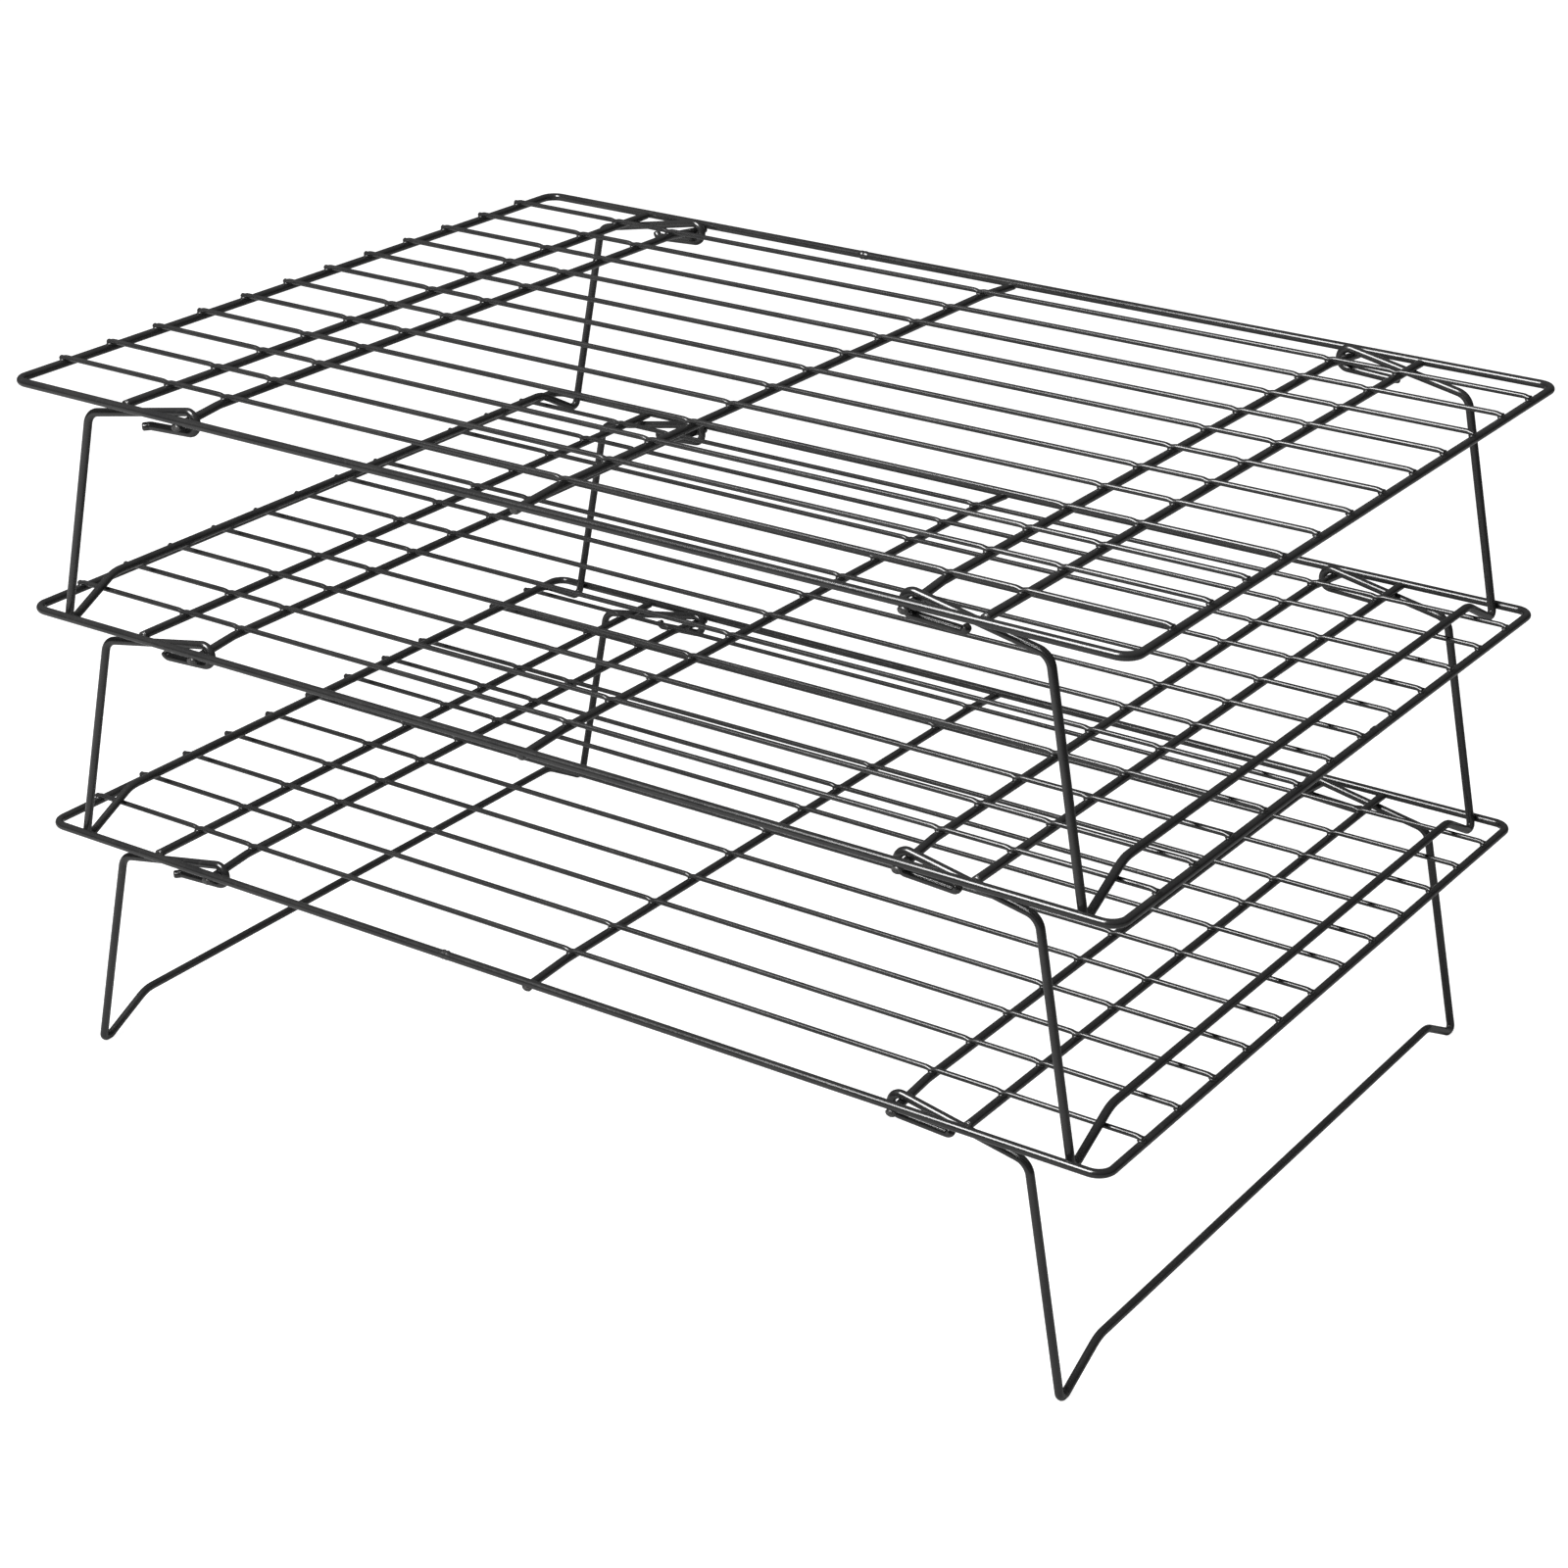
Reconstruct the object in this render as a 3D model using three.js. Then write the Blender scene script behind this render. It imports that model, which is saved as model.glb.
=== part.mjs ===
// Cooling rack: three wire tiers with folding legs, stacked one on another.
// Millimetres. X runs along the rack, Y across it, Z up. The feet stand on z = 0.

import * as THREE from 'three';
import { mergeVertices } from 'three/addons/utils/BufferGeometryUtils.js';

// Outside size of one tier's frame.
const RACK_LENGTH = 400;
const RACK_DEPTH = 278;

// Wire diameters.
const FRAME_WIRE = 2.8;
const GRID_WIRE = 1.75;

// Clearance left where two welded wires meet.
const WELD_GAP = 0.05;

// The frame's centre line, and its corner bends.
const FRAME_X = (RACK_LENGTH - FRAME_WIRE) / 2;
const FRAME_Y = (RACK_DEPTH - FRAME_WIRE) / 2;
const CORNER_RADIUS = 5;

// Grid wires lie on top of the frame's ends and the crossbars.
const GRID_COUNT = 12;
const GRID_SPACING = (2 * FRAME_Y) / (GRID_COUNT + 1);
const GRID_HEIGHT = (FRAME_WIRE + GRID_WIRE) / 2 + WELD_GAP;
const GRID_OVERHANG = 1;

// Crossbars: one in the middle, a pivot and a stop on each side of it.
const PIVOT_X = 130;
const STOP_X = 153.5;
const STOP_END_Y = 135.5;
const BAR_END_Y = 139;
const BAR_BEND_Y = 118.6;
const BAR_END_DROP = 3.17;

// Legs. Each is one wire, with an eye round its pivot bar at both ends.
const EYE_Y = 132.6;
const EYE_RADIUS = 3.5;
const EYE_HANG = 1.95;
const EYE_STEPS = 10;
const TAIL_X = 146.5;
const TAIL_SLOPE = THREE.MathUtils.degToRad(3);
const TAIL_HOOK = new THREE.Vector3(2.2, 2, -0.3);
const ARM_END_X = 172;
const ARM_BEND = 5.5;
const LEG_X = 186.5;
const FOOT_OUTER_Y = 134.4;
const FOOT_INNER_Y = 131.2;
const FOOT_DROP = 78.5;
const KINK_Y = 113;
const KINK_DROP = 69;

// The arm leaves the top of its eye and passes just under the stop bar.
const STOP_GAP = 0.3;
const ARM_SLOPE =
  Math.asin(
    (EYE_RADIUS + FRAME_WIRE + STOP_GAP) / Math.hypot(STOP_X - PIVOT_X, EYE_HANG),
  ) - Math.atan2(EYE_HANG, STOP_X - PIVOT_X);

// Tiers. An upper tier's feet drop between the wires of the tier below.
const TIERS = ['bottom', 'middle', 'top'];
const TIER_PITCH = 76.3;
const FIRST_TIER = FOOT_DROP + FRAME_WIRE / 2;

const coating = new THREE.MeshStandardMaterial({
  name: 'black_coating',
  color: 0x1a1a1b,
  roughness: 0.32,
  metalness: 0.25,
});

/** The part of a vector that is square to a unit direction. */
function square(vector, direction) {
  return vector.clone().addScaledVector(direction, -vector.dot(direction));
}

/** A vector slid along a wire's direction until it lies in a mitre plane. */
function slide(vector, direction, mitre) {
  const reach = vector.dot(mitre) / direction.dot(mitre);
  return vector.clone().addScaledVector(direction, -reach);
}

/**
 * A bent wire's centre line, held as the stations where it turns.
 * The section is mitred at each station, so every facet stays flat,
 * and one pair of facets on the middle run faces straight up and down.
 */
class WirePath extends THREE.Curve {
  constructor(stations) {
    super();
    this.stations = stations;
  }

  getPoint(u) {
    const last = this.stations.length - 1;
    return this.stations[Math.round(u * last)].clone();
  }

  getSpacedPoints() {
    return this.stations.map((station) => station.clone());
  }

  /** Unit direction of each run between two stations. */
  runs() {
    const pairs = this.stations.slice(1);
    return pairs.map((next, i) => next.clone().sub(this.stations[i]).normalize());
  }

  /** The section's up direction on each run, carried out from the middle. */
  upOnRuns(runs, mitres) {
    const middle = Math.floor(runs.length / 2);
    const up = [];
    up[middle] = square(new THREE.Vector3(0, 0, 1), runs[middle]).normalize();
    for (let i = middle + 1; i < runs.length; i++) {
      up[i] = square(slide(up[i - 1], runs[i - 1], mitres[i]), runs[i]);
    }
    for (let i = middle - 1; i >= 0; i--) {
      up[i] = square(slide(up[i + 1], runs[i + 1], mitres[i + 1]), runs[i]);
    }
    return up;
  }

  computeFrenetFrames() {
    const runs = this.runs();
    const last = runs.length - 1;
    const mitres = this.stations.map((_, i) => {
      const before = runs[Math.max(i - 1, 0)];
      const after = runs[Math.min(i, last)];
      return before.clone().add(after).normalize();
    });
    const up = this.upOnRuns(runs, mitres);
    const normals = mitres.map((mitre, i) => {
      const run = Math.min(i, last);
      return slide(up[run], runs[run], mitre);
    });
    const binormals = mitres.map((mitre, i) => {
      const run = Math.min(i, last);
      const across = runs[run].clone().cross(up[run]);
      return slide(across, runs[run], mitre);
    });
    return { tangents: mitres, normals, binormals };
  }
}

/** A regular section whose flats, not its corners, sit at the wire's radius. */
function section(diameter, sides) {
  const reach = diameter / 2 / Math.cos(Math.PI / sides);
  const points = [];
  for (let i = 0; i < sides; i++) {
    const angle = ((i + 0.5) * 2 * Math.PI) / sides;
    points.push(new THREE.Vector2(reach * Math.cos(angle), reach * Math.sin(angle)));
  }
  return new THREE.Shape(points);
}

/** Stations along a wire that is bent to a radius at each inner corner. */
function bendWire(corners) {
  const stations = [];
  corners.forEach(({ at, radius = 0, steps = 1 }, i) => {
    if (radius === 0) {
      stations.push(at.clone());
      return;
    }
    const into = at.clone().sub(corners[i - 1].at).normalize();
    const out = corners[i + 1].at.clone().sub(at).normalize();
    const turn = into.angleTo(out);
    const start = at.clone().addScaledVector(into, -radius * Math.tan(turn / 2));
    const inward = square(out, into).normalize();
    const centre = start.clone().addScaledVector(inward, radius);
    const axis = into.clone().cross(out).normalize();
    for (let step = 0; step <= steps; step++) {
      const spoke = start.clone().sub(centre);
      spoke.applyAxisAngle(axis, (turn * step) / steps);
      stations.push(spoke.add(centre));
    }
  });
  return stations;
}

/** A solid wire with a cut face at each end. */
function wire(stations, diameter, sides = 8) {
  const extrudePath = new WirePath(stations);
  const steps = stations.length - 1;
  return new THREE.ExtrudeGeometry(section(diameter, sides), {
    extrudePath,
    steps,
    bevelEnabled: false,
    curveSegments: 1,
  });
}

/** A solid wire welded end to end into a ring, so it has no end faces. */
function wireRing(stations, diameter, sides) {
  const tube = wire([...stations, stations[0]], diameter, sides);
  const skin = tube.groups.find((group) => group.materialIndex === 1);
  const corners = tube.getAttribute('position').array;
  const kept = corners.slice(skin.start * 3, (skin.start + skin.count) * 3);
  const ring = new THREE.BufferGeometry();
  ring.setAttribute('position', new THREE.BufferAttribute(kept, 3));
  return mergeVertices(ring, 1e-3);
}

function frameRing() {
  const corner = (x, y) => ({
    at: new THREE.Vector3(x * FRAME_X, y * FRAME_Y, 0),
    radius: CORNER_RADIUS,
    steps: 4,
  });
  const seam = { at: new THREE.Vector3(0, -FRAME_Y, 0) };
  const loop = [seam, corner(1, -1), corner(1, 1), corner(-1, 1), corner(-1, -1), seam];
  const stations = bendWire(loop);
  stations.pop();
  return wireRing(stations, FRAME_WIRE, 12);
}

function gridWire(number) {
  const y = (number - (GRID_COUNT + 1) / 2) * GRID_SPACING;
  const end = FRAME_X + GRID_OVERHANG;
  const stations = [
    new THREE.Vector3(-end, y, GRID_HEIGHT),
    new THREE.Vector3(end, y, GRID_HEIGHT),
  ];
  return wire(stations, GRID_WIRE);
}

/** A bar whose ends are bent gently down to pass under the frame's long wires. */
function bentDownBar(x) {
  const half = [
    { at: new THREE.Vector3(x, BAR_END_Y, -BAR_END_DROP) },
    { at: new THREE.Vector3(x, BAR_BEND_Y, 0), radius: 12 },
  ];
  return wire(bendWire(mirrored(half)), FRAME_WIRE);
}

function stopBar(x) {
  const stations = [
    new THREE.Vector3(x, STOP_END_Y, 0),
    new THREE.Vector3(x, -STOP_END_Y, 0),
  ];
  return wire(stations, FRAME_WIRE);
}

/** Corners from the +Y side, followed by their mirror images in reverse. */
function mirrored(half) {
  const flip = new THREE.Vector3(1, -1, 1);
  const far = half.map((corner) => ({ ...corner, at: corner.at.clone().multiply(flip) }));
  return [...half, ...far.reverse()];
}

/** The eye's corners, from under its pivot bar, round the inside, to the top. */
function eyeCorners() {
  const first = -Math.PI / 2 - TAIL_SLOPE;
  const last = (-3 * Math.PI) / 2 - ARM_SLOPE;
  const corners = [];
  for (let step = 0; step <= EYE_STEPS; step++) {
    const angle = THREE.MathUtils.lerp(first, last, step / EYE_STEPS);
    const x = PIVOT_X + EYE_RADIUS * Math.cos(angle);
    const z = EYE_RADIUS * Math.sin(angle) - EYE_HANG;
    corners.push({ at: new THREE.Vector3(x, EYE_Y, z) });
  }
  return corners;
}

/** One leg: tail, eye, arm, upright, foot, kick-up and cross run, both sides. */
function leg(side) {
  const eye = eyeCorners();
  const under = eye[0].at;
  const top = eye[EYE_STEPS].at;
  const tailDrop = (TAIL_X - under.x) * Math.tan(TAIL_SLOPE);
  const armDrop = (ARM_END_X - top.x) * Math.tan(ARM_SLOPE);
  const tail = new THREE.Vector3(TAIL_X, EYE_Y, under.z - tailDrop);
  const half = [
    { at: tail.clone().add(TAIL_HOOK) },
    { at: tail, radius: 1.8 },
    ...eye,
    { at: new THREE.Vector3(ARM_END_X, EYE_Y, top.z - armDrop), radius: ARM_BEND, steps: 3 },
    { at: new THREE.Vector3(LEG_X, FOOT_OUTER_Y, -FOOT_DROP), radius: 1.7, steps: 4 },
    { at: new THREE.Vector3(LEG_X, FOOT_INNER_Y, -FOOT_DROP), radius: 1.7 },
    { at: new THREE.Vector3(LEG_X, KINK_Y, -KINK_DROP), radius: 12, steps: 2 },
  ];
  const turned = new THREE.Vector3(side, 1, 1);
  const corners = mirrored(half);
  corners.forEach((corner) => corner.at.multiply(turned));
  return wire(bendWire(corners), FRAME_WIRE);
}

/** Every piece of one tier, named, with the frame's centre line at z = 0. */
function tierPieces() {
  const pieces = { frame: frameRing(), centre_bar: bentDownBar(0) };
  for (let number = 1; number <= GRID_COUNT; number++) {
    pieces[`grid_wire_${String(number).padStart(2, '0')}`] = gridWire(number);
  }
  for (const [name, side] of [['left', -1], ['right', 1]]) {
    pieces[`${name}_pivot_bar`] = bentDownBar(side * PIVOT_X);
    pieces[`${name}_stop_bar`] = stopBar(side * STOP_X);
    pieces[`${name}_leg`] = leg(side);
  }
  return pieces;
}

const rack = new THREE.Group();
rack.name = 'cooling_rack';

TIERS.forEach((tier, level) => {
  for (const [name, geometry] of Object.entries(tierPieces())) {
    const mesh = new THREE.Mesh(geometry, coating);
    mesh.name = `${tier}_${name}`;
    mesh.position.z = FIRST_TIER + level * TIER_PITCH;
    rack.add(mesh);
  }
});

export default rack;
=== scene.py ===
"""Three stacked wire cooling racks: the look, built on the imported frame. Metres, +Z up."""

import math
import random

import bmesh
import bpy
from mathutils import Matrix, Vector, noise


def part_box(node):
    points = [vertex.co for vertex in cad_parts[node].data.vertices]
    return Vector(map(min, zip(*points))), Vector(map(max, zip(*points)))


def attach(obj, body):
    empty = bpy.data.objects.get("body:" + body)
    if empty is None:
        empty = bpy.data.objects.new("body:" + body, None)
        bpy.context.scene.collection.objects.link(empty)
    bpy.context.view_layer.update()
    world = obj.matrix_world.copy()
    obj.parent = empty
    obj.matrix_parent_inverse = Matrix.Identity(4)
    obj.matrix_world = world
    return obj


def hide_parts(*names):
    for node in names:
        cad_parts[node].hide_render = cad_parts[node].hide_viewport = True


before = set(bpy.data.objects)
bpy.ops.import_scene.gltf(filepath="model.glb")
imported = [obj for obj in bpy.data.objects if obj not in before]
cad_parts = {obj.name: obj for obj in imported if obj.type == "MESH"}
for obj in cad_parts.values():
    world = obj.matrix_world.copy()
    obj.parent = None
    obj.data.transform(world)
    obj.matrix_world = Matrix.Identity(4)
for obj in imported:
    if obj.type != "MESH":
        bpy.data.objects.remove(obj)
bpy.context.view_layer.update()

MM = 0.001
TIERS = ("bottom", "middle", "top")
GRID_WIRES = 12

# Wire radii. The coated wires are drawn a hair under the CAD's, to stay inside its box.
THICK = 1.37 * MM
THIN = 0.855 * MM
CAD_THICK = 1.4 * MM

# Hand-loaded wire drifts by up to this along x and along y, about WAVES times a metre.
WAVINESS = 0.16 * MM
WAVES = 9

# The drift's noise starts from the clock unless it is seeded.
DRIFT_SEED = 1794973853
noise.seed_set(DRIFT_SEED)

# A cut end is rounded over: (distance in, radius), both as parts of the wire's radius.
CUT_CROWN = ((0.0, 0.62), (0.12, 0.86), (0.34, 0.97))
CUT_WEAR = 0.85

NUGGET_SIDES = 12
NUGGET_ROWS = 7


# ---------------------------------------------------------------- places, read from the frame


def centre(node):
    """Middle of a CAD node's box at rest."""
    low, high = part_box(node)
    return (Vector(low) + Vector(high)) / 2


def reach(node):
    """Highest corner of a CAD node's box at rest."""
    return Vector(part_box(node)[1])


def plane(tier):
    """Height of a tier's frame, at the middle of the wire."""
    return centre(f"{tier}_frame").z


FRAME_X = reach("bottom_frame").x - CAD_THICK
FRAME_Y = reach("bottom_frame").y - CAD_THICK
PIVOT_X = centre("bottom_right_pivot_bar").x
STOP_X = centre("bottom_right_stop_bar").x
BAR_END_Y = reach("bottom_centre_bar").y
STOP_END_Y = reach("bottom_right_stop_bar").y
GRID_RISE = centre("bottom_grid_wire_01").z - plane("bottom")
FOOT_DROP = plane("bottom") - CAD_THICK
GRID_YS = [centre(f"bottom_grid_wire_{n:02d}").y for n in range(1, GRID_WIRES + 1)]
CROSSING_XS = (-FRAME_X, -STOP_X, -PIVOT_X, 0.0, PIVOT_X, STOP_X, FRAME_X)


# ---------------------------------------------------------------- wire paths


def fillet(corners, turn_step=math.radians(7)):
    """Points along a bent wire's centre line, from (corner, bend radius) pairs."""
    points = []
    for i, (at, radius) in enumerate(corners):
        at = Vector(at)
        if radius == 0:
            points.append(at)
            continue
        into = (at - Vector(corners[i - 1][0])).normalized()
        out = (Vector(corners[(i + 1) % len(corners)][0]) - at).normalized()
        turn = into.angle(out)
        start = at - into * radius * math.tan(turn / 2)
        inward = (out - into * out.dot(into)).normalized()
        hub = start + inward * radius
        axis = into.cross(out)
        steps = max(2, math.ceil(turn / turn_step))
        for step in range(steps + 1):
            spin = Matrix.Rotation(turn * step / steps, 3, axis)
            points.append(hub + spin @ (start - hub))
    return points


def refine(points, longest, closed=False):
    """The same path with no run longer than a given length."""
    ends = points + points[:1] if closed else points
    fine = []
    for a, b in zip(ends, ends[1:]):
        parts = max(1, math.ceil((b - a).length / longest))
        fine += [a.lerp(b, k / parts) for k in range(parts)]
    return fine if closed else fine + [ends[-1]]


def finer_ends(path, longest=0.45 * MM):
    """Adds closer points along the first and the last run of a path."""
    head = refine(path[:2], longest)[:-1]
    tail = refine(path[-2:], longest)
    return head + path[1:-2] + tail


def mirrored(half):
    """The same (corner, bend radius) pairs on the other side of the rack, in reverse."""
    return [((x, -y, z), radius) for (x, y, z), radius in half[::-1]]


def uneven(tier, point):
    """A point moved by its tier's slight waviness, always towards the rack's middle."""
    seed = TIERS.index(tier)
    drift = noise.noise_vector(point * WAVES + Vector((seed * 7.3, 0, seed * 3.1)))
    inward_x = -math.copysign(abs(drift.x), point.x)
    inward_y = -math.copysign(abs(drift.y), point.y)
    return point + Vector((inward_x, inward_y, 0)) * WAVINESS


def near(value, target, width):
    """A smooth bump, 1 at the target and almost 0 past three widths."""
    return math.exp(-(((value - target) / width) ** 2))


# ---------------------------------------------------------------- swept wire meshes


def wire_frames(path, closed):
    """Directions along, up and across at each point, with up carried from the one before."""
    count = len(path)
    runs = count if closed else count - 1
    ahead = [(path[(i + 1) % count] - path[i]).normalized() for i in range(runs)]
    frames = []
    up = None
    for i in range(count):
        if closed:
            along = (ahead[i - 1] + ahead[i]).normalized()
        else:
            along = (ahead[max(i - 1, 0)] + ahead[min(i, count - 2)]).normalized()
        if up is None:
            up = Vector((0, 0, 1)) if abs(along.z) < 0.9 else Vector((1, 0, 0))
        up = (up - along * up.dot(along)).normalized()
        frames.append((along, up.copy(), along.cross(up)))
    return frames


def cut_end(point, frame_at, way, radius):
    """Stations (point, directions, scale) that round a cut end over. way is +1 or -1."""
    into = frame_at[0] * way
    return [(point + into * (depth * radius), frame_at, scale) for depth, scale in CUT_CROWN]


def add_wire(bm, wear, path, radius, section, sides=16, closed=False):
    """Sweeps a wire along a path into bm. Unless it is closed, it has rounded cut ends.

    section(point) gives the wire's width and height as factors, its shift and its wear.
    """
    frames = wire_frames(path, closed)
    stations = [(point, frame_at, 1.0) for point, frame_at in zip(path, frames)]
    if not closed:
        head = cut_end(path[0], frames[0], 1, radius)
        tail = cut_end(path[-1], frames[-1], -1, radius)
        stations = head + stations[1:-1] + tail[::-1]
    rings = []
    for point, (_along, up, across), scale in stations:
        wide, tall, shift, rub = section(point)
        if scale < 1.0:
            rub = max(rub, CUT_WEAR)
        ring = []
        for k in range(sides):
            angle = 2 * math.pi * k / sides
            spoke = across * math.cos(angle) * wide + up * math.sin(angle) * tall
            vertex = bm.verts.new(point + shift + spoke * radius * scale)
            vertex[wear] = rub
            ring.append(vertex)
        rings.append(ring)
    pairs = list(zip(rings, rings[1:])) + ([(rings[-1], rings[0])] if closed else [])
    for a, b in pairs:
        for k in range(sides):
            n = (k + 1) % sides
            bm.faces.new((a[k], a[n], b[n], b[k]))
    if not closed:
        bm.faces.new(rings[0][::-1])
        bm.faces.new(rings[-1])


def add_nugget(bm, wear, at, size, seed):
    """A lumpy weld nugget, squashed between two crossed wires. size is its half extents."""
    rng = random.Random(seed)
    rows = []
    for step in range(1, NUGGET_ROWS):
        polar = math.pi * step / NUGGET_ROWS
        row = []
        for k in range(NUGGET_SIDES):
            angle = 2 * math.pi * k / NUGGET_SIDES
            flat = math.sin(polar)
            out = Vector((flat * math.cos(angle), flat * math.sin(angle), math.cos(polar)))
            lump = 1 + 0.16 * noise.noise(out * 1.7 + Vector((seed, 0, 0)))
            lump += rng.uniform(-0.02, 0.02)
            vertex = bm.verts.new(at + out * size * lump)
            vertex[wear] = 0.0
            row.append(vertex)
        rows.append(row)
    top = bm.verts.new(at + Vector((0, 0, size.z)))
    low = bm.verts.new(at - Vector((0, 0, size.z)))
    top[wear] = low[wear] = 0.0
    for a, b in zip(rows, rows[1:]):
        for k in range(NUGGET_SIDES):
            n = (k + 1) % NUGGET_SIDES
            bm.faces.new((a[k], b[k], b[n], a[n]))
    for k in range(NUGGET_SIDES):
        n = (k + 1) % NUGGET_SIDES
        bm.faces.new((top, rows[0][k], rows[0][n]))
        bm.faces.new((low, rows[-1][n], rows[-1][k]))


def new_object(name, data):
    """A new object in the scene."""
    made = bpy.data.objects.new(name, data)
    bpy.context.scene.collection.objects.link(made)
    return made


def piece(name, build, body, material, nodes=()):
    """Makes an object from a function that fills a bmesh, and rides it on a body."""
    bm = bmesh.new()
    wear = bm.verts.layers.float.new("wear")
    build(bm, wear)
    bmesh.ops.recalc_face_normals(bm, faces=bm.faces)
    mesh = bpy.data.meshes.new(name)
    bm.to_mesh(mesh)
    bm.free()
    mesh.polygons.foreach_set("use_smooth", [True] * len(mesh.polygons))
    mesh.materials.append(material)
    made = new_object(name, mesh)
    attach(made, body)
    if nodes:
        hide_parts(*nodes)


# ---------------------------------------------------------------- the coating

BLACK_DARK = (0.0125, 0.0125, 0.013)
BLACK_LIGHT = (0.0195, 0.0193, 0.019)
DUST = (0.055, 0.054, 0.052)
RUBBED = (0.10, 0.095, 0.09)


def coating(name, seed, roughness):
    """Baked black coating: dark, faintly mottled, finely pitted, rubbed at cut ends."""
    material = bpy.data.materials.new(name)
    material.use_nodes = True
    nodes, links = material.node_tree.nodes, material.node_tree.links
    shader = nodes["Principled BSDF"]

    place = nodes.new("ShaderNodeTexCoord")
    shifted = nodes.new("ShaderNodeMapping")
    shifted.inputs["Location"].default_value = (seed * 0.37, seed * 0.11, seed * 0.23)
    links.new(place.outputs["Object"], shifted.inputs["Vector"])

    def speckle(scale, detail):
        """Noise with about this many lumps a metre."""
        node = nodes.new("ShaderNodeTexNoise")
        node.inputs["Scale"].default_value = scale
        node.inputs["Detail"].default_value = detail
        links.new(shifted.outputs["Vector"], node.inputs["Vector"])
        return node.outputs["Fac"]

    def spread(value, low, high, to_low, to_high):
        node = nodes.new("ShaderNodeMapRange")
        node.inputs["From Min"].default_value = low
        node.inputs["From Max"].default_value = high
        node.inputs["To Min"].default_value = to_low
        node.inputs["To Max"].default_value = to_high
        links.new(value, node.inputs["Value"])
        return node.outputs["Result"]

    def tint(factor, first, second):
        node = nodes.new("ShaderNodeMix")
        node.data_type = "RGBA"
        links.new(factor, node.inputs["Factor"])
        for socket, colour in (("A", first), ("B", second)):
            target = [s for s in node.inputs if s.name == socket and s.type == "RGBA"][0]
            if isinstance(colour, tuple):
                target.default_value = (*colour, 1)
            else:
                links.new(colour, target)
        return [s for s in node.outputs if s.type == "RGBA"][0]

    def maths(operation, a, b):
        node = nodes.new("ShaderNodeMath")
        node.operation = operation
        for socket, value in zip(node.inputs, (a, b)):
            if isinstance(value, (int, float)):
                socket.default_value = value
            else:
                links.new(value, socket)
        return node.outputs["Value"]

    def bump(height, strength, distance, under=None):
        node = nodes.new("ShaderNodeBump")
        node.inputs["Strength"].default_value = strength
        node.inputs["Distance"].default_value = distance
        links.new(height, node.inputs["Height"])
        if under:
            links.new(under, node.inputs["Normal"])
        return node.outputs["Normal"]

    mottle = spread(speckle(70, 4), 0.35, 0.65, 0, 1)
    dust = spread(speckle(420, 3), 0.62, 0.8, 0, 0.35)
    black = tint(mottle, BLACK_DARK, BLACK_LIGHT)
    dusty = tint(dust, black, DUST)

    rub = nodes.new("ShaderNodeAttribute")
    rub.attribute_name = "wear"
    broken = spread(speckle(1900, 2), 0.46, 0.6, 0, 1)
    bare = maths("MULTIPLY", maths("MULTIPLY", rub.outputs["Fac"], broken), 0.55)
    links.new(tint(bare, dusty, RUBBED), shader.inputs["Base Color"])

    streak = spread(speckle(160, 3), 0.3, 0.7, -0.03, 0.03)
    grain = spread(speckle(1500, 2), 0.3, 0.7, -0.03, 0.03)
    rough = maths("ADD", maths("ADD", streak, grain), roughness)
    links.new(maths("ADD", rough, maths("MULTIPLY", bare, 0.2)), shader.inputs["Roughness"])

    peel = bump(speckle(1300, 3), 0.14, 0.02 * MM)
    runs = bump(speckle(330, 2), 0.22, 0.05 * MM, under=peel)
    links.new(runs, shader.inputs["Normal"])

    shader.inputs["Specular IOR Level"].default_value = 0.5
    shader.inputs["Coat Weight"].default_value = 0.35
    shader.inputs["Coat Roughness"].default_value = 0.12
    return material


thick_coat = coating("coated_thick_wire", 1.0, 0.22)
thin_coat = coating("coated_thin_wire", 2.0, 0.27)
leg_coat = coating("coated_leg_wire", 3.0, 0.24)
weld_coat = coating("coated_weld", 4.0, 0.36)


# ---------------------------------------------------------------- frame wire

FRAME_CORNER = 5 * MM
FRAME_SIDES = 18

# Where each tier's frame is butt-welded, (x, y). The weld leaves a collar round the wire.
SEAMS = {
    "bottom": (-32 * MM, -FRAME_Y),
    "middle": (FRAME_X, 20 * MM),
    "top": (-60 * MM, FRAME_Y),
}
COLLAR_AT = 0.7 * MM
COLLAR_WIDTH = 0.55 * MM
COLLAR_SHIFT = 0.16 * MM
SEAM_RUB = 1.6 * MM
SEAM_STEP = 0.35 * MM
SEAM_STEPS = 7
SEAM_CLEAR = 3.4 * MM


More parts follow.
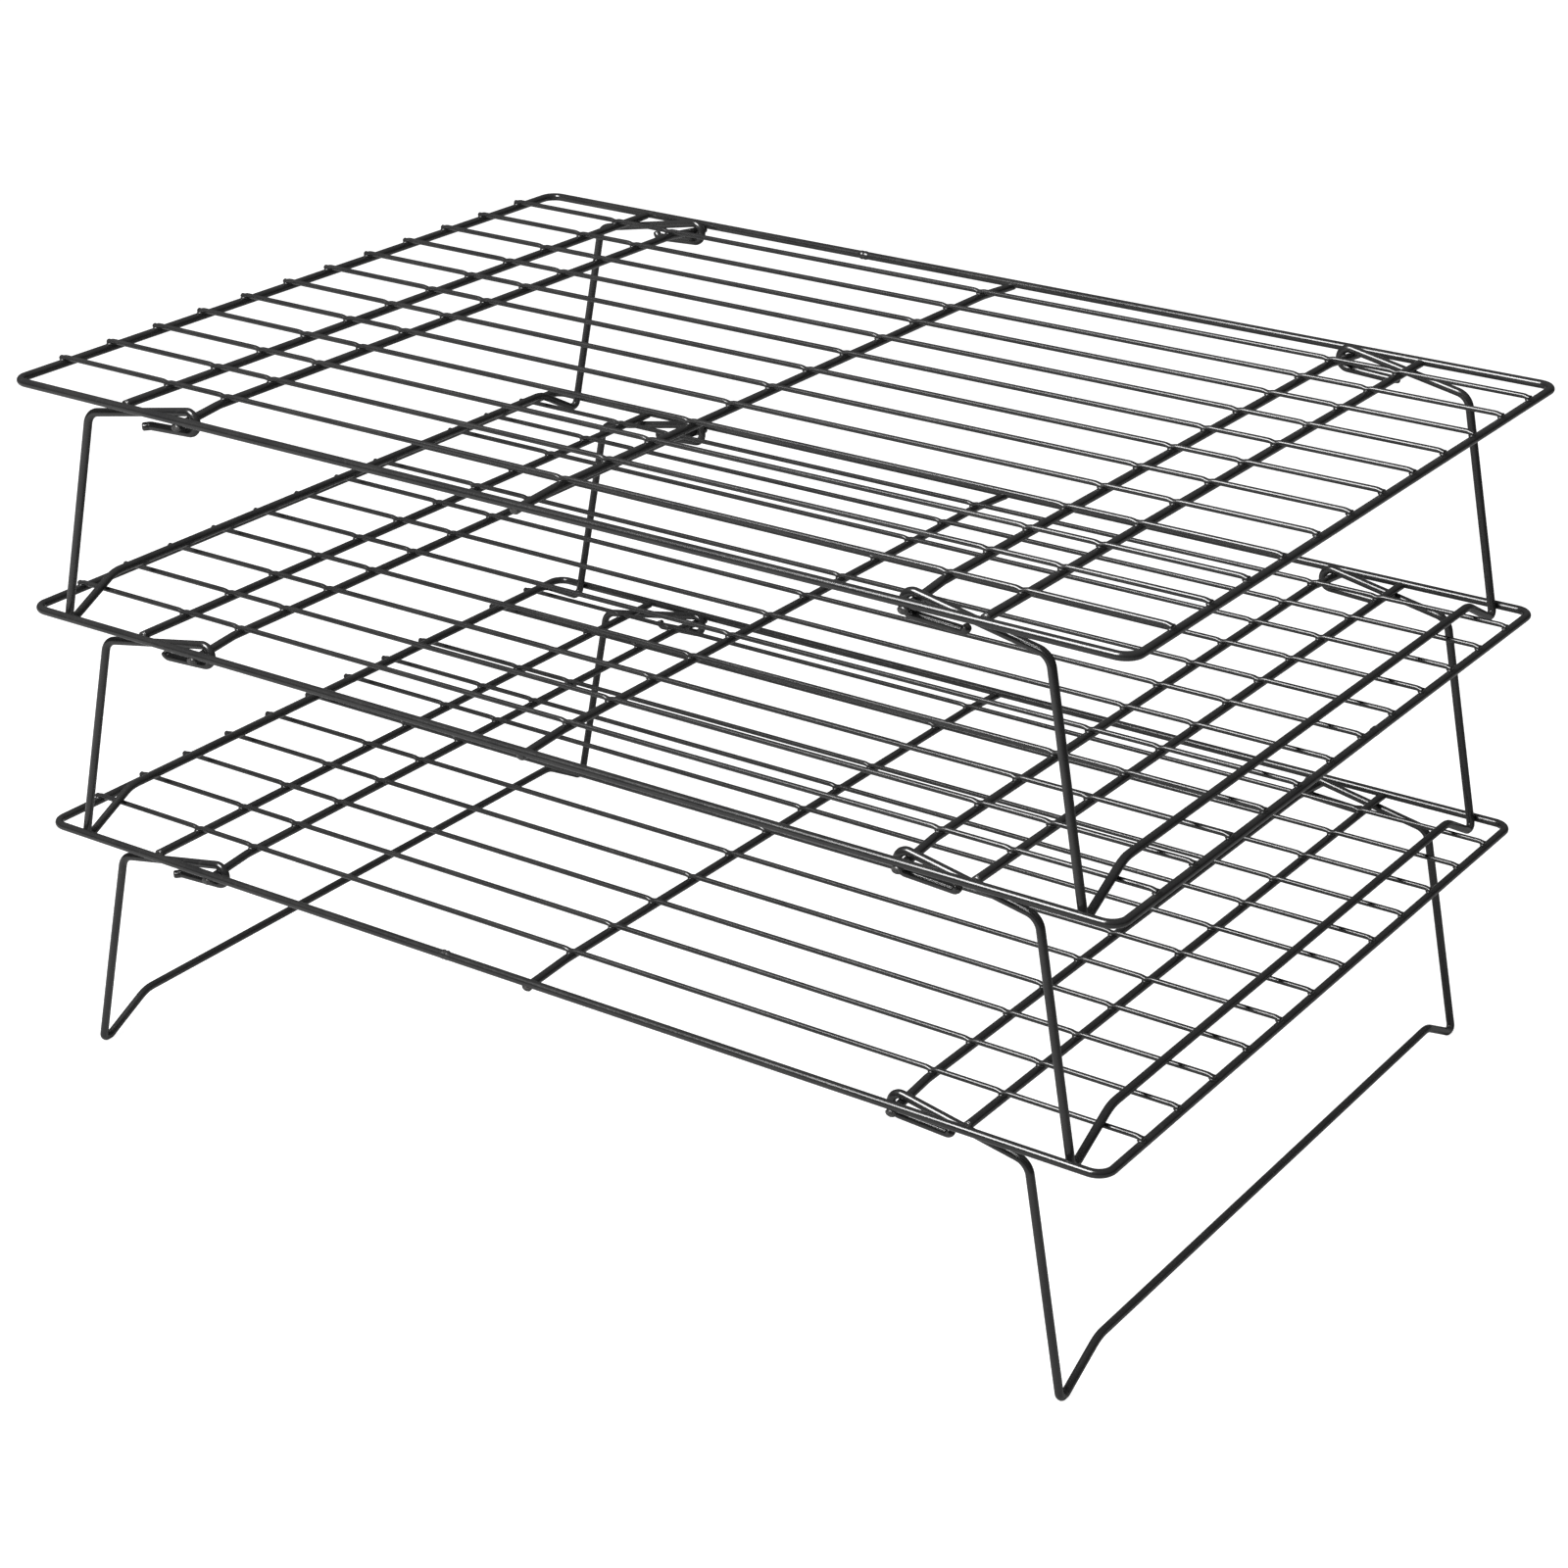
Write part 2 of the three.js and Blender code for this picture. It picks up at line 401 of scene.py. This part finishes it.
def frame_wire(tier):
    """A rounded rectangle of thick wire, with its butt weld."""
    level = plane(tier)
    seam_x, seam_y = SEAMS[tier]
    on_short_end = seam_x == FRAME_X
    inward = Vector((-1, 0, 0)) if on_short_end else Vector((0, -math.copysign(1, seam_y), 0))

    def section(point):
        away = math.hypot(point.x - seam_x, point.y - seam_y)
        collar = near(away, COLLAR_AT, COLLAR_WIDTH)
        rub = 0.5 * near(away, 0, SEAM_RUB)
        return 1 + 0.10 * collar, 1 + 0.16 * collar, inward * collar * COLLAR_SHIFT, rub

    def with_seam(path):
        """The path with close points at the seam, in place of those within SEAM_CLEAR."""
        here = Vector((seam_x, seam_y, level))
        nearest = min(range(len(path)), key=lambda i: (path[i] - here).length)
        along = (path[(nearest + 1) % len(path)] - path[nearest]).normalized()
        before = [p for p in path[:nearest] if (p - here).length > SEAM_CLEAR]
        after = [p for p in path[nearest:] if (p - here).length > SEAM_CLEAR]
        steps = range(-SEAM_STEPS, SEAM_STEPS + 1)
        return before + [here + along * (k * SEAM_STEP) for k in steps] + after

    def build(bm, wear):
        signs = ((1, -1), (1, 1), (-1, 1), (-1, -1))
        corners = [((x * FRAME_X, y * FRAME_Y, level), FRAME_CORNER) for x, y in signs]
        path = with_seam(refine(fillet(corners, math.radians(6)), 9 * MM, closed=True))
        path = [uneven(tier, p) for p in path]
        add_wire(bm, wear, path, THICK, section, FRAME_SIDES, closed=True)

    return build


# ---------------------------------------------------------------- grid wires

GRID_END_X = FRAME_X + 0.55 * MM
GRID_SIDES = 14

# A grid wire is pressed down and flattened where it crosses a thick one. Its path has
# points at these distances from each crossing.
PRESS_WIDTH = 1.15 * MM
PRESS_DEPTH = 0.30 * MM
PRESS_POINTS = [d * MM for d in (-3, -2, -1.4, -0.9, -0.45, 0, 0.45, 0.9, 1.4, 2, 3)]
GRID_TIP = 0.9 * MM


def grid_wire(tier, number):
    """One thin wire along the rack, from one short end of the frame to the other."""
    y = GRID_YS[number - 1]
    level = plane(tier) + GRID_RISE

    def section(point):
        pressed = max(near(point.x, x, PRESS_WIDTH) for x in CROSSING_XS)
        tip = near(abs(point.x), GRID_END_X, GRID_TIP)
        wide = 1 + 0.12 * pressed + 0.10 * tip
        tall = 1 - 0.13 * pressed
        return wide, tall, Vector((0, 0, -PRESS_DEPTH * pressed)), 0.0

    def build(bm, wear):
        xs = [-GRID_END_X, GRID_END_X]
        for crossing in CROSSING_XS:
            xs += [crossing + step for step in PRESS_POINTS]
        xs = sorted(x for x in xs if abs(x) <= GRID_END_X)
        path = refine([Vector((x, y, level)) for x in xs], 10 * MM)
        path = [uneven(tier, p) for p in path]
        add_wire(bm, wear, path, THIN, section, GRID_SIDES)

    return build


# ---------------------------------------------------------------- crossbars

# The centre and pivot bars slope down from here, to pass under the frame's long wires.
BAR_BEND_Y = 118.6 * MM
BAR_BEND = 12 * MM
BAR_TIP_Y = BAR_END_Y - 0.45 * MM
CENTRE_DROP = 1.4 * MM
PIVOT_DROP = 2.25 * MM

# They are pinched flat past this, over about this width.
BAR_PINCH_Y = 137.2 * MM
BAR_PINCH = 0.5 * MM

STOP_TIP_Y = STOP_END_Y - 0.05 * MM
STOP_PINCH = 1.5 * MM
BAR_RUN = 6 * MM


def set_down_bar(tier, x, drop):
    """A crossbar whose ends slope under the frame's long wires and are pinched there."""
    level = plane(tier)

    def section(point):
        pinch = 1 / (1 + math.exp(-(abs(point.y) - BAR_PINCH_Y) / BAR_PINCH))
        return 1 + 0.30 * pinch, 1 - 0.10 * pinch, Vector(), 0.25 * pinch

    def build(bm, wear):
        half = [((x, BAR_TIP_Y, level - drop), 0), ((x, BAR_BEND_Y, level), BAR_BEND)]
        path = fillet(half + mirrored(half), math.radians(3))
        path = [uneven(tier, p) for p in finer_ends(refine(path, BAR_RUN))]
        add_wire(bm, wear, path, THICK, section)

    return build


def stop_bar(tier, x):
    """A straight crossbar that ends just inside the frame's long wires."""
    level = plane(tier)

    def section(point):
        pinch = near(abs(point.y), STOP_TIP_Y, STOP_PINCH)
        return 1 + 0.16 * pinch, 1 - 0.08 * pinch, Vector(), 0.0

    def build(bm, wear):
        ends = [Vector((x, STOP_TIP_Y, level)), Vector((x, -STOP_TIP_Y, level))]
        path = [uneven(tier, p) for p in finer_ends(refine(ends, BAR_RUN))]
        add_wire(bm, wear, path, THICK, section)

    return build


# ---------------------------------------------------------------- legs

EYE_RADIUS = 3.3 * MM
EYE_HANG = 1.95 * MM
EYE_Y = 132.6 * MM
EYE_STEPS = 28

ARM_END_X = 172 * MM
ARM_BEND = 5.5 * MM

# An open leg's arms slope so that they lie just under the stop bar.
STOP_GAP = 0.3 * MM
STOP_RUN = STOP_X - PIVOT_X
ARM_SLOPE = math.asin((EYE_RADIUS + 2 * CAD_THICK + STOP_GAP) / math.hypot(STOP_RUN, EYE_HANG))
ARM_SLOPE -= math.atan2(EYE_HANG, STOP_RUN)

LEG_X = 186.5 * MM
FOOT_OUTER_Y = 134.4 * MM
FOOT_INNER_Y = 131.2 * MM
FOOT_BEND = 1.7 * MM
FOOT_RUB_Y = 129 * MM
FOOT_RUB = 0.5 * MM
KINK_Y = 113 * MM
KINK_DROP = 69 * MM
KINK_BEND = 12 * MM

# The eye's tail runs under the arm and ends in a short hook, bent out or up.
TAIL_SLOPE = math.radians(3)
TAIL_X = 146 * MM
TAIL_BEND = 1.6 * MM
TAIL_HOOKS = (Vector((2.0, 1.8, -0.2)) * MM, Vector((1.1, 0.5, 1.7)) * MM)


def eye_points():
    """The eye round the pivot bar, from its tail to its arm, over the top."""
    first = -math.pi / 2 - TAIL_SLOPE
    final = -3 * math.pi / 2 - ARM_SLOPE
    points = []
    for step in range(EYE_STEPS + 1):
        angle = first + (final - first) * step / EYE_STEPS
        x = PIVOT_X + EYE_RADIUS * math.cos(angle)
        points.append(Vector((x, EYE_Y, EYE_RADIUS * math.sin(angle) - EYE_HANG)))
    return points


def half_leg(hook, tail_x):
    """(corner, bend radius) pairs from the tail's hook to the kick-up, on the +Y side."""
    loop = eye_points()
    drop = (tail_x - loop[0].x) * math.tan(TAIL_SLOPE)
    tail = Vector((tail_x, EYE_Y, loop[0].z - drop))
    arm_z = loop[-1].z - (ARM_END_X - loop[-1].x) * math.tan(ARM_SLOPE)
    return [
        (tail + hook, 0),
        (tail, TAIL_BEND),
        *[(point, 0) for point in loop],
        ((ARM_END_X, EYE_Y, arm_z), ARM_BEND),
        ((LEG_X, FOOT_OUTER_Y, -FOOT_DROP), FOOT_BEND),
        ((LEG_X, FOOT_INNER_Y, -FOOT_DROP), FOOT_BEND),
        ((LEG_X, KINK_Y, -KINK_DROP), KINK_BEND),
    ]


def leg_wire(tier, side):
    """One leg, open, with an eye at both ends. side is -1 for the left and 1 for the right."""
    level = plane(tier)
    rng = random.Random(10 * TIERS.index(tier) + side)

    def section(point):
        at_foot = abs(point.y) > FOOT_RUB_Y
        rub = 0.6 * near(point.z - level, -FOOT_DROP, FOOT_RUB) if at_foot else 0.0
        return 1.0, 1.0, Vector(), rub

    def build(bm, wear):
        hooks = list(TAIL_HOOKS)
        if side < 0:
            rng.shuffle(hooks)
        rear = half_leg(hooks[0], TAIL_X + rng.uniform(-0.8, 0.4) * MM)
        front = half_leg(hooks[1], TAIL_X + rng.uniform(-0.8, 0.4) * MM)
        corners = rear + mirrored(front)
        points = fillet([((side * x, y, z + level), radius) for (x, y, z), radius in corners])
        path = [uneven(tier, p) for p in refine(points, 5 * MM)]
        add_wire(bm, wear, path, THICK, section)

    return build


# ---------------------------------------------------------------- welds and whole tiers

GRID_WELD_RISE = 1.33 * MM
GRID_WELD_INSET = 0.25 * MM
BAR_WELD_DROP = 1.4 * MM
BAR_WELD_INSET = 0.1 * MM
BAR_WELD = Vector((1.75, 1.2, 0.8)) * MM


def welds(tier):
    """Every weld nugget of one tier: at the grid wires' crossings and at the bars' ends."""
    level = plane(tier)
    seed = TIERS.index(tier)
    rng = random.Random(50 + seed)

    def spots():
        """(place, half extents) of each nugget."""
        for y in GRID_YS:
            for x in CROSSING_XS:
                spot = Vector((x, y + rng.uniform(-0.12, 0.12) * MM, level + GRID_WELD_RISE))
                if abs(x) == FRAME_X:
                    spot.x -= math.copysign(GRID_WELD_INSET, x)
                size = Vector((rng.uniform(1.14, 1.34), rng.uniform(1.08, 1.28), 0.56)) * MM
                yield spot, size
        for x in (-PIVOT_X, 0.0, PIVOT_X):
            for y in (-FRAME_Y, FRAME_Y):
                inset = math.copysign(BAR_WELD_INSET, y)
                yield Vector((x, y - inset, level - BAR_WELD_DROP)), BAR_WELD

    def build(bm, wear):
        for count, (spot, size) in enumerate(spots(), start=1):
            add_nugget(bm, wear, uneven(tier, spot), size, count + 100 * seed)

    return build


def build_tier(tier):
    """The 21 pieces of one tier: 18 wires and the welds on its rack, and two legs."""
    body = f"{tier}_rack"
    part = f"{tier}_frame"
    piece(f"{part}_wire", frame_wire(tier), body, thick_coat, [part])
    for number in range(1, GRID_WIRES + 1):
        part = f"{tier}_grid_wire_{number:02d}"
        piece(f"{part}_drawn", grid_wire(tier, number), body, thin_coat, [part])
    for name, x, drop in (
        ("centre_bar", 0.0, CENTRE_DROP),
        ("left_pivot_bar", -PIVOT_X, PIVOT_DROP),
        ("right_pivot_bar", PIVOT_X, PIVOT_DROP),
    ):
        part = f"{tier}_{name}"
        piece(f"{part}_wire", set_down_bar(tier, x, drop), body, thick_coat, [part])
    for name, x in (("left_stop_bar", -STOP_X), ("right_stop_bar", STOP_X)):
        part = f"{tier}_{name}"
        piece(f"{part}_wire", stop_bar(tier, x), body, thick_coat, [part])
    for name, side in (("left_leg", -1), ("right_leg", 1)):
        part = f"{tier}_{name}"
        piece(f"{part}_wire", leg_wire(tier, side), part, leg_coat, [part])
    piece(f"{tier}_welds", welds(tier), body, weld_coat)


for tier in TIERS:
    build_tier(tier)


# ---------------------------------------------------------------- floor, light and camera

FLOOR_RADIUS = 7
FLOOR_GREY = 0.36
FLOOR_LIFT = 0.955

# The room's light: white as the camera sees it, and (height, grey) for what it lights.
ROOM_SEEN = 1.1
ROOM_GREYS = ((0.0, 0.05), (0.8, 0.20))

KEY_AT = (-0.28, -0.98, 1.27)
KEY_AIM = (-0.28, -0.05, 0.16)
KEY_SIZE = (0.70, 0.78)
KEY_WATTS = 42

# The camera stands where the photo's did. CAMERA_PLACE is along its right, up and back.
CAMERA_TURN = math.radians(33.82)
CAMERA_TILT = math.radians(24.433)
CAMERA_ROLL = math.radians(0.522)
CAMERA_PLACE = Vector((0.899, 86.129, 1179.075)) * MM
SENSOR = 36
LENS = 79.32375


def floor():
    """A wide pale floor, overexposed to the camera and dim to everything it lights."""
    bm = bmesh.new()
    bmesh.ops.create_circle(bm, cap_ends=True, segments=96, radius=FLOOR_RADIUS)
    mesh = bpy.data.meshes.new("floor")
    bm.to_mesh(mesh)
    bm.free()
    material = bpy.data.materials.new("pale_floor")
    material.use_nodes = True
    nodes, links = material.node_tree.nodes, material.node_tree.links
    shader = nodes["Principled BSDF"]
    shader.inputs["Base Color"].default_value = (FLOOR_GREY, FLOOR_GREY, FLOOR_GREY, 1)
    shader.inputs["Roughness"].default_value = 0.9
    shader.inputs["Specular IOR Level"].default_value = 0.1
    rays = nodes.new("ShaderNodeLightPath")
    lift = nodes.new("ShaderNodeMath")
    lift.operation = "MULTIPLY"
    lift.inputs[1].default_value = FLOOR_LIFT
    links.new(rays.outputs["Is Camera Ray"], lift.inputs[0])
    shader.inputs["Emission Color"].default_value = (1, 1, 1, 1)
    links.new(lift.outputs["Value"], shader.inputs["Emission Strength"])
    mesh.materials.append(material)
    new_object("floor", mesh)


def softbox(name, at, aim, size, power):
    """A rectangular soft light. power is in watts."""
    data = bpy.data.lights.new(name, "AREA")
    data.shape = "RECTANGLE"
    data.size, data.size_y = size
    data.energy = power
    made = new_object(name, data)
    made.location = at
    made.rotation_euler = (Vector(aim) - Vector(at)).to_track_quat("-Z", "Y").to_euler()


def surround():
    """A plain room: white to the camera, and a dim grey light from above."""
    world = bpy.data.worlds.new("studio")
    bpy.context.scene.world = world
    world.use_nodes = True
    nodes, links = world.node_tree.nodes, world.node_tree.links
    seen = nodes["Background"]
    seen.inputs["Color"].default_value = (1, 1, 1, 1)
    seen.inputs["Strength"].default_value = ROOM_SEEN
    cast = nodes.new("ShaderNodeBackground")
    place = nodes.new("ShaderNodeTexCoord")
    split = nodes.new("ShaderNodeSeparateXYZ")
    links.new(place.outputs["Generated"], split.inputs["Vector"])
    ramp = nodes.new("ShaderNodeValToRGB")
    for element, (spot, grey) in zip(ramp.color_ramp.elements, ROOM_GREYS):
        element.position = spot
        element.color = (grey, grey, grey, 1)
    links.new(split.outputs["Z"], ramp.inputs["Fac"])
    links.new(ramp.outputs["Color"], cast.inputs["Color"])
    rays = nodes.new("ShaderNodeLightPath")
    mix = nodes.new("ShaderNodeMixShader")
    links.new(rays.outputs["Is Camera Ray"], mix.inputs["Fac"])
    links.new(cast.outputs["Background"], mix.inputs[1])
    links.new(seen.outputs["Background"], mix.inputs[2])
    links.new(mix.outputs["Shader"], nodes["World Output"].inputs["Surface"])


def camera():
    """The photo's own viewpoint."""
    east, north = math.cos(CAMERA_TURN), math.sin(CAMERA_TURN)
    flat, rise = math.cos(CAMERA_TILT), math.sin(CAMERA_TILT)
    back = Vector((north * flat, -east * flat, rise))
    right = Vector((east, north, 0))
    up = back.cross(right)
    rolled_right = right * math.cos(CAMERA_ROLL) + up * math.sin(CAMERA_ROLL)
    rolled_up = up * math.cos(CAMERA_ROLL) - right * math.sin(CAMERA_ROLL)
    spin = Matrix((rolled_right, rolled_up, back)).transposed()
    data = bpy.data.cameras.new("camera")
    data.sensor_width = SENSOR
    data.lens = LENS
    data.clip_start, data.clip_end = 0.05, 30
    made = new_object("camera", data)
    made.matrix_world = Matrix.Translation(spin @ CAMERA_PLACE) @ spin.to_4x4()
    bpy.context.scene.camera = made


floor()
surround()
softbox("key", KEY_AT, KEY_AIM, KEY_SIZE, KEY_WATTS)
camera()
bpy.context.scene.view_settings.view_transform = "Standard"
